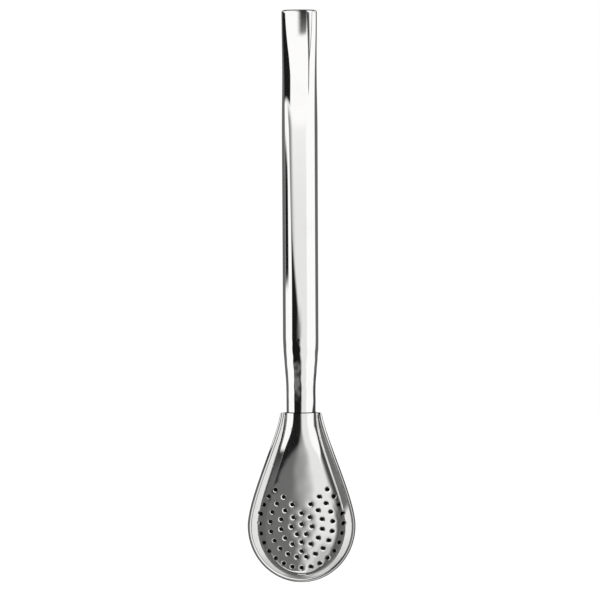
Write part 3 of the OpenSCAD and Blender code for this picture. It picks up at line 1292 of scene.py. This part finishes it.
@dataclass
class PunchedShell(PressedShell):
    """The front shell, whose flange is tucked under the back shell's hem."""

    facing: Facing = Facing.FRONT
    holes: HolePattern | None = field(default_factory=HolePattern)
    lip: float = 0.88 * MM
    dip_reach: float = 3.0 * MM
    # The flange's slope towards the bowl at some bearings, in degrees from +X round the widest point.
    dip_bearings: tuple[float, ...] = (-112.0, -78.0, 12.0, 30.0, 85.0, 95.0)
    dips: tuple[float, ...] = (0.13, -0.1, -0.1, 0.1, 0.1, 0.13)
    edge_gap: float = 0.05 * MM
    tuck_depth: float = 0.48 * MM
    tuck_run: float = 0.1 * MM
    tuck_rows: int = 3

    @property
    def edge_inset(self) -> float:
        """How far inside the outer edge the sheet ends, clear of the hem's fold."""
        return self.form.fold_radius + self.edge_gap

    def fine_insets(self) -> tuple[float, ...]:
        """Lists the lines on which the sheet steps up from under the hem to the rim's face.

        Returns:
            Distances inside the outer edge.
        """
        start = self.form.hem_width
        steps = [start + self.tuck_run * share for share in shares(self.tuck_rows)]
        return (mix(self.edge_inset, start, 0.5), *steps, start + 2 * self.tuck_run)

    def flange(self, x: np.ndarray, h: np.ndarray) -> np.ndarray:
        """Works out how far the flange stands off the parting plane as it leans in from the hem, or out.

        Args:
            x: Distances across.
            h: Heights above the widest point.

        Returns:
            The height of each point.
        """
        dip = eased_steps(np.degrees(np.arctan2(h, x)), self.dip_bearings, self.dips)
        inward = np.clip(self.form.edge_distance(x, h), 0, self.dip_reach)
        return self.lip + dip * (self.form.hem_width - inward)

    def height(self, x: np.ndarray, h: np.ndarray) -> np.ndarray:
        """Returns how far the outer face stands off the parting plane, with the tuck under the hem."""
        beyond = (self.form.edge_distance(x, h) - self.form.hem_width) / self.tuck_run
        return mix(self.tuck_depth, super().height(x, h), ease(np.clip(beyond, 0, 1)))


@dataclass
class HemmedShell(PressedShell):
    """The back shell, whose edge is folded over the front flange as a hem."""

    fold_steps: int = 30
    nose_steps: int = 6
    nose_radius: float = 0.06 * MM
    crest: float = 0.5 * MM
    face_radius: float = 1.1 * MM
    corner_radius: float = 0.7 * MM
    corner_ramp: float = 1.2 * MM

    def wall_edges(self, rim: int) -> list[tuple[int, int]]:
        """Returns the edges along the top only, because the fold closes the sheet's sides."""
        first = 2 * self.side_steps + self.tip_steps
        return [(number, (number + 1) % rim) for number in range(first, rim)]

    def hem_section(self) -> list[tuple[float, float]]:
        """Draws the fold's section, from the sheet's outer face round the front flange to its inner face.

        Returns:
            Distances inside the edge and heights off the parting plane, which are negative in front.
        """
        form, crest, face, nose = self.form, self.crest, self.face_radius, self.nose_radius
        bend, half = form.fold_radius, form.sheet / 2
        turns = [math.pi * share for share in shares(self.fold_steps)]
        edge = [(crest * (1 - math.sin(a)), bend * math.cos(a) - half) for a in turns]
        lean = math.asin((form.hem_width - crest - nose) / (face - nose))
        middle = face - bend - half
        steps = shares(self.nose_steps)[1:]
        slopes = [lean * share for share in steps]
        crown = [(crest + face * math.sin(a), middle - face * math.cos(a)) for a in slopes]
        tip_in = crest + (face - nose) * math.sin(lean)
        tip_up = middle - (face - nose) * math.cos(lean)
        rolls = [mix(lean, math.pi / 2, share) for share in steps]
        rolled = [(tip_in + nose * math.sin(a), tip_up - nose * math.cos(a)) for a in rolls]
        lining = [(bend - half * math.sin(a), -half * math.cos(a) - half) for a in turns]
        return [(bend, bend - half), *edge, *crown, *rolled, (form.hem_width, -form.sheet), *lining]

    def hem(self, mesh: bpy.types.Mesh, depth: np.ndarray) -> bpy.types.Mesh:
        """Adds the folded hem to the pressed sheet.

        Args:
            mesh: The pressed sheet.
            depth: Each point's depth in the sheet.

        Returns:
            A mesh of both, which share their points.
        """
        line, outward = self.form.edge_line(self.side_steps, self.tip_steps)
        section = self.hem_section()
        points = np.vstack([np.insert(line - outward * inward, 1, up, axis=1) for inward, up in section])
        points += (0, 0, self.form.z_wide)
        points[:, 2] -= self.corner_drop(points)
        old = coordinates(mesh)
        stations = len(line)
        numbers = np.arange(len(points)).reshape(-1, stations) + len(old) - stations
        for ring, level in ((0, 0.0), (-1, self.form.sheet)):
            numbers[ring] = self.nearest(old, np.isclose(depth, level, atol=WELD), points[:stations])
        corners = (numbers[:-1, :-1], numbers[:-1, 1:], numbers[1:, 1:], numbers[1:, :-1])
        added = [*np.stack(corners, axis=-1).reshape(-1, 4), numbers[:, 0], numbers[::-1, -1]]
        sheets = [tuple(face.vertices) for face in mesh.polygons]
        finishes = [face.material_index for face in mesh.polygons]
        whole = mesh_of(self.name, np.vstack((old, points[stations:-stations])), [*sheets, *added])
        whole.materials.append(self.skin)
        whole.materials.append(self.inside)
        whole.polygons.foreach_set("material_index", finishes + [0] * len(added))
        whole.polygons.foreach_set("use_smooth", [True] * len(whole.polygons))
        return whole

    @staticmethod
    def nearest(points: np.ndarray, chosen: np.ndarray, wanted: np.ndarray) -> list[int]:
        """Finds the points of a skin that a ring of the hem shares.

        Args:
            points: All points of the sheet.
            chosen: Which of them are on the skin.
            wanted: Places on the ring.

        Returns:
            The number of the nearest chosen point to each place.
        """
        numbers = np.flatnonzero(chosen)
        tree = KDTree(len(numbers))
        for number in numbers:
            tree.insert(points[number], int(number))
        tree.balance()
        return [tree.find(place)[1] for place in wanted]

    def corner_drop(self, points: np.ndarray) -> np.ndarray:
        """Works out how far the round top corners lower the hem.

        Args:
            points: Points of the hem.

        Returns:
            How far down each of them goes.
        """
        form, radius = self.form, self.corner_radius
        beyond = np.clip(np.abs(points[:, 0]) - (form.edge_top - radius), 0, radius)
        drop = radius - np.sqrt(radius**2 - beyond**2)
        below = form.z_wide + form.rise - points[:, 2]
        return drop * np.clip(1 - below / self.corner_ramp, 0, 1)

    def build(self) -> bpy.types.Object:
        """Makes the shell with its hem.

        Returns:
            Its object.
        """
        sheet, depth, out = self.pressed()
        mesh = self.hem(sheet, depth)
        self.smooth(mesh, depth, out)
        bpy.data.meshes.remove(sheet)
        return self.place(mesh)


@dataclass(frozen=True)
class Cut:
    """A straight soft edge. It keeps the side where across and up, weighed, come to less than the limit."""

    across: float
    up: float
    limit: float
    soft: float

    @classmethod
    def left_of(cls, place: float, soft: float) -> "Cut":
        """Returns an upright edge that keeps what is left of a place."""
        return cls(1, 0, place, soft)

    @classmethod
    def right_of(cls, place: float, soft: float) -> "Cut":
        """Returns an upright edge that keeps what is right of a place."""
        return cls(-1, 0, -place, soft)

    @classmethod
    def below(cls, height: float, soft: float) -> "Cut":
        """Returns a level edge that keeps what is below a height."""
        return cls(0, 1, height, soft)

    @classmethod
    def above(cls, height: float, soft: float) -> "Cut":
        """Returns a level edge that keeps what is above a height."""
        return cls(0, -1, -height, soft)

    def mask(self, across: Wire, up: Wire) -> Wire:
        """Returns 1 on the side that is kept and 0 beyond the edge."""
        return (across * self.across + up * self.up).step(self.limit + self.soft, self.limit - self.soft)


@dataclass(frozen=True)
class Flag:
    """A dark panel round the set, as the steel sees it, in degrees from the direction that faces the lens.

    Shade is its brightness, near and far are the ring of directions that it lies in, and cuts trim it.
    """

    shade: float
    cuts: tuple[Cut, ...]
    near: float = -20.0
    far: float = 200.0
    soft: float = 4.0

    def light(self, off_axis: Wire, right: Wire, high: Wire) -> Wire:
        """Works out how much of the surround's light the flag leaves.

        Args:
            off_axis: Angle from the direction that faces the lens.
            right: The part of it to the right.
            high: The part of it upwards.

        Returns:
            The flag's shade where it stands, and 1 elsewhere.
        """
        ring = off_axis.step(self.near - self.soft, self.near + self.soft)
        ring = ring * off_axis.step(self.far + self.soft, self.far - self.soft)
        return 1.0 - ring * math.prod(cut.mask(right, high) for cut in self.cuts) * (1 - self.shade)


FLAGS = (
    Flag(shade=0.8, far=42.0, cuts=(Cut.below(6.0, 4.0),)),
    Flag(shade=0.13, near=112.0, far=166.0, soft=2.5, cuts=(Cut.above(-80.0, 15.0),)),
    Flag(shade=0.07, cuts=(Cut.above(56.0, 6.0),)),
    Flag(
        shade=0.01,
        near=70.0,
        far=111.0,
        soft=2.0,
        cuts=(Cut(1, 0.6, -81.5, 2.0), Cut(1, 5.7, -49.7, 5.0), Cut.above(0.9, 0.5)),
    ),
    Flag(
        shade=0.2,
        cuts=(Cut(-1, -2.6, 55.0, 2.0), Cut(1, 2.2, -40.0, 16.0), Cut.above(1.0, 1.0), Cut.below(9.5, 1.5)),
    ),
)


@dataclass(frozen=True)
class Panel:
    """A card that stands close to the straw or the spoon, which only the steel sees.

    It faces the straw's axis at an azimuth in degrees from the lens, positive to the right. Each of its sides
    is a place and how soft it is there, in millimetres along the card or up, and a side with no softness ends
    sharply. Cuts trim the card further. A low shade takes over below a change, a height and its softness.
    """

    MISSED_BY: ClassVar[tuple[str, ...]] = ("camera", "diffuse", "transmission", "volume_scatter", "shadow")

    name: str
    azimuth: float
    distance: float
    shade: float
    left: Side = (-120.0, 0.0)
    right: Side = (120.0, 0.0)
    bottom: Side = (-330.0, 0.0)
    top: Side = (60.0, 0.0)
    cuts: tuple[Cut, ...] = ()
    low_shade: float | None = None
    change: Side = (-80.0, 10.0)

    def edges(self) -> list[Cut]:
        """Lists every soft edge of the card.

        Returns:
            Its cuts, and its sides that are soft.
        """
        sides = (
            (Cut.right_of, self.left),
            (Cut.left_of, self.right),
            (Cut.above, self.bottom),
            (Cut.below, self.top),
        )
        return [*self.cuts, *(keep(place, soft) for keep, (place, soft) in sides if soft)]

    def material(self) -> bpy.types.Material:
        """Builds the card's shade, which fades out at its soft edges.

        Returns:
            The material.
        """
        material, maker = new_material(self.name)
        maker.tree.nodes.remove(maker.tree.nodes["Principled BSDF"])
        along, _, up = (part * (1 / MM) for part in maker.split(maker.wire("ShaderNodeTexCoord", "Object")))
        mask = math.prod(cut.mask(along, up) for cut in self.edges())
        height, soft = self.change
        low_shade = self.shade if self.low_shade is None else self.low_shade
        shade = mix(low_shade, self.shade, up.step(height - soft, height + soft))
        mixed = maker.node("ShaderNodeMixShader", {"Fac": mask})
        plug(maker.tree, mixed.inputs[1], maker.wire("ShaderNodeBsdfTransparent", 0))
        glow = maker.wire("ShaderNodeEmission", 0, {"Color": maker.join(shade, shade, shade)})
        plug(maker.tree, mixed.inputs[2], glow)
        surface = maker.tree.nodes["Material Output"].inputs["Surface"]
        plug(maker.tree, surface, Wire(maker.tree, mixed.outputs[0]))
        return material

    def corners(self) -> list[tuple[float, float, float]]:
        """Works out where the card ends, with its soft sides.

        A ray passes only a few clear surfaces, so a card has little more area than what shows of it.

        Returns:
            The card's corners.
        """
        low, high = self.bottom[0] - self.bottom[1], self.top[0] + self.top[1]
        left, right = self.left[0] - self.left[1], self.right[0] + self.right[1]
        ends = ((left, low), (right, low), (right, high), (left, high))
        return [(along * MM, 0.0, up * MM) for along, up in ends]

    def build(self) -> None:
        """Stands the card in the scene."""
        turn = math.radians(self.azimuth)
        card = stand(self.name, mesh_of(self.name, self.corners(), [(0, 1, 2, 3)]))
        card.data.materials.append(self.material())
        card.location = (self.distance * math.sin(turn), -self.distance * math.cos(turn), 0)
        card.rotation_euler = (0, 0, turn)
        for ray in self.MISSED_BY:
            setattr(card, "visible_" + ray, False)


# Cards that the spoon and the neck mirror, and then those that the mouth mirrors, which stand higher.
PANELS = (
    Panel(
        "front_left_card", azimuth=-25.0, distance=130 * MM, shade=0.01, low_shade=0.15, change=(-70.0, 6.0),
        right=(68.0, 24.0),
        cuts=(Cut(-1, -0.12, 82.0, 4.0), Cut(0.275, 1, -14.7, 6.0), Cut(0.73, 1, -0.3, 18.0)),
    ),
    Panel(
        "neck_soft_card", azimuth=-25.0, distance=128 * MM, shade=0.22,
        left=(15.0, 25.0), right=(60.0, 45.0), bottom=(-36.0, 4.0), top=(-24.0, 6.0),
    ),
    Panel(
        "neck_light_card", azimuth=-25.0, distance=30 * MM, shade=0.18,
        left=(-12.0, 3.0), right=(8.0, 3.0), bottom=(-46.4, 1.6), top=(-43.2, 1.6),
    ),
    Panel(
        "low_grey_card", azimuth=25.0, distance=100 * MM, shade=0.5,
        left=(-25.0, 15.0), right=(60.0, 15.0), top=(-114.0, 16.0),
    ),
    Panel(
        "right_low_card", azimuth=52.0, distance=80 * MM, shade=0.07,
        left=(-14.5, 14.0), right=(45.0, 6.0), top=(-78.0, 6.0),
    ),
    Panel(
        "left_side_card", azimuth=-90.0, distance=25 * MM, shade=0.04, low_shade=0.12, change=(-61.0, 5.0),
        left=(-50.0, 6.0), right=(18.0, 4.0), top=(-55.2, 1.5),
    ),
    Panel(
        "left_throat_card", azimuth=-90.0, distance=26 * MM, shade=1.0,
        left=(-6.0, 1.0), right=(17.0, 2.0), bottom=(-55.0, 1.0), top=(-44.0, 1.5),
    ),
    Panel(
        "left_back_card", azimuth=-90.0, distance=24 * MM, shade=0.1,
        left=(-50.0, 6.0), right=(-17.0, 3.0), top=(-47.0, 2.0),
    ),
    Panel(
        "right_side_card", azimuth=90.0, distance=25 * MM, shade=0.06, low_shade=0.13, change=(-78.0, 5.0),
        left=(-18.0, 12.0), right=(50.0, 6.0), cuts=(Cut(-0.5, 1, -51.0, 1.5),),
    ),
    Panel(
        "front_low_card", azimuth=0.0, distance=8 * MM, shade=0.06,
        left=(-60.0, 6.0), right=(60.0, 6.0), top=(-112.0, 3.0),
    ),
    Panel(
        "rear_low_card", azimuth=180.0, distance=30 * MM, shade=0.05,
        left=(-60.0, 6.0), right=(60.0, 6.0), top=(-114.0, 3.0),
    ),
    Panel(
        "mouth_left_card", azimuth=-72.0, distance=60 * MM, shade=0.01,
        left=(-50.0, 4.0), right=(46.0, 3.0), bottom=(45.0, 1.5), top=(140.0, 0.0),
        cuts=(Cut(1, -1.5, -48.5, 3.0), Cut(1, 7.5, 558.0, 8.0)),
    ),
    Panel(
        "mouth_card", azimuth=0.0, distance=45 * MM, shade=0.03, low_shade=0.22, change=(68.2, 1.2),
        left=(-0.1, 1.2), right=(8.0, 2.0), bottom=(67.1, 0.5), top=(140.0, 0.0),
    ),
    Panel(
        "mouth_line_card", azimuth=0.0, distance=44 * MM, shade=0.05,
        bottom=(51.0, 2.0), top=(140.0, 0.0),
        cuts=(Cut(-1, -1.8, -131.5, 2.0), Cut(1, 1.8, 140.0, 4.0)),
    ),
    Panel(
        "mouth_side_card", azimuth=0.0, distance=46 * MM, shade=0.06,
        bottom=(61.5, 1.0), top=(140.0, 0.0),
        cuts=(Cut(-1, 0.8, 23.2, 1.5), Cut(1, -0.8, -18.6, 1.5)),
    ),
    Panel(
        "mouth_top_card", azimuth=0.0, distance=12 * MM, shade=0.05,
        left=(-60.0, 6.0), right=(60.0, 6.0), bottom=(70.0, 0.5), top=(140.0, 0.0),
    ),
)


@dataclass(frozen=True)
class Studio:
    """The set: a white surround with flags for the steel to mirror, a pale floor, a lamp and the camera."""

    # Added to a length that is divided by, so that it is never zero.
    TINY: ClassVar[float] = 1e-6

    distance: float = 500 * MM
    view_width: float = 168.1 * MM
    sensor: float = 36.0
    aim_height: float = -18.23 * MM
    aim_across: float = -0.15 * MM
    lean: float = math.radians(0.28)
    floor_drop: float = 12 * MM
    floor_size: float = 6.0
    floor_shade: float = 0.95
    floor_roughness: float = 0.9
    ambient: float = 1.06
    lamp_power: float = 1.2
    lamp_size: float = 0.5
    lamp_place: tuple[float, float, float] = (-0.3, -0.45, 0.6)

    def surround(self, maker: TreeMaker) -> Wire:
        """Builds the surround's brightness as the steel sees it.

        Args:
            maker: The world's tree.

        Returns:
            The brightness in each direction.
        """
        across, deep, up = maker.split(maker.wire("ShaderNodeTexCoord", "Generated"))
        off_axis = (deep * -1.0).clamped(-1.0, 1.0).maths("ARCCOSINE") * math.degrees(1.0)
        side = (across * across + up * up).maths("SQRT") + self.TINY
        right, high = off_axis * across / side, off_axis * up / side
        return math.prod(flag.light(off_axis, right, high) for flag in FLAGS)

    def world(self) -> None:
        """Lights the set evenly, shows white behind it, and shows the surround to the steel."""
        world = bpy.data.worlds.new("studio")
        bpy.context.scene.world = world
        world.use_nodes = True
        maker = TreeMaker(world.node_tree)
        path = maker.node("ShaderNodeLightPath")
        camera, glossy, clear = (
            Wire(maker.tree, path.outputs[label])
            for label in ("Is Camera Ray", "Is Glossy Ray", "Is Transmission Ray")
        )
        seen = mix(self.ambient, 1.0, (camera + clear).clamped())
        level = mix(seen, self.surround(maker), glossy)
        plug(maker.tree, maker.tree.nodes["Background"].inputs["Color"], maker.join(level, level, level))

    def floor(self) -> None:
        """Lays a plain pale floor under the spoon's tip."""
        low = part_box("back_shell")[0].z - self.floor_drop
        half = self.floor_size / 2
        corners = [(-half, -half, low), (half, -half, low), (half, half, low), (-half, half, low)]
        floor = stand("floor", mesh_of("floor", corners, [(0, 1, 2, 3)]))
        paint, maker = new_material("pale_floor")
        shader = maker.tree.nodes["Principled BSDF"]
        shader.inputs["Base Color"].default_value = (self.floor_shade, self.floor_shade, self.floor_shade, 1)
        shader.inputs["Roughness"].default_value = self.floor_roughness
        shader.inputs["Specular IOR Level"].default_value = 0.0
        floor.data.materials.append(paint)
        floor.visible_glossy = False

    def lamp(self) -> None:
        """Hangs one soft lamp above and in front."""
        light = bpy.data.lights.new("soft_lamp", "AREA")
        light.energy = self.lamp_power
        light.size = self.lamp_size
        lamp = stand("soft_lamp", light)
        lamp.location = self.lamp_place
        lamp.rotation_euler = (-Vector(self.lamp_place)).to_track_quat("-Z", "Y").to_euler()
        lamp.visible_glossy = False

    def camera(self) -> None:
        """Stands the camera square in front of the strainer's holes."""
        lens = bpy.data.cameras.new("camera")
        lens.sensor_width = self.sensor
        lens.lens = self.sensor * self.distance / self.view_width
        camera = stand("camera", lens)
        camera.location = (self.aim_across, -self.distance, self.aim_height)
        camera.rotation_euler = Euler((math.pi / 2, self.lean, 0.0), "XYZ")
        bpy.context.scene.camera = camera

    def build(self) -> None:
        """Builds the whole set."""
        self.world()
        self.floor()
        for panel in PANELS:
            panel.build()
        self.lamp()
        self.camera()
        bpy.context.scene.view_settings.view_transform = "Standard"


def main() -> None:
    """Builds the set and the three pieces."""
    logging.basicConfig(level=logging.INFO, format="%(name)s: %(message)s")
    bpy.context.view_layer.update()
    Studio().build()
    form = SpoonForm()
    drawn, pressed, bare = (finish.material() for finish in (DRAWN_STEEL, PRESSED_STEEL, BARE_STEEL))
    StrawTube("straw_tube_polished", "straw_tube", "tube_steel", drawn, bare).build()
    PunchedShell("strainer_front_punched", "front_strainer", "shell_steel", pressed, bare, form).build()
    HemmedShell("strainer_back_hemmed", "back_shell", "shell_steel", pressed, bare, form).build()


if __name__ == "__main__":
    main()
